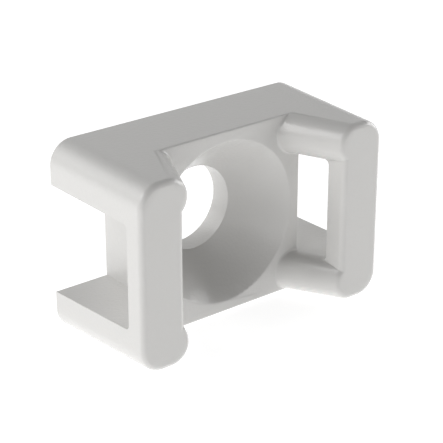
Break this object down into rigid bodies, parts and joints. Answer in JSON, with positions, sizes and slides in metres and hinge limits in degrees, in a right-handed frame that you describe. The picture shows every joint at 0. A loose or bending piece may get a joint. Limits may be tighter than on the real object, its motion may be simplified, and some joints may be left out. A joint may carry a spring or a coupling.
{
  "type": "cable tie mount",
  "caption": "Saddle-shaped moulded cable tie mount with a countersunk screw hole, a cradle for cables and a tie slot through each end.",
  "frame": {"origin": "centre of the screw hole on the mounting face, which is the plane y = 0", "axes": "+X along the length, from one tie slot to the other; -Y out of the mounting face towards the cables; +Z along the cables, up as in the picture"},
  "size_m": [0.0244, 0.011, 0.0158],
  "materials": {
    "nylon": "matte"
  },
  "bodies": {
    "root": {"tie_mount": "nylon"}
  },
  "joints": []
}
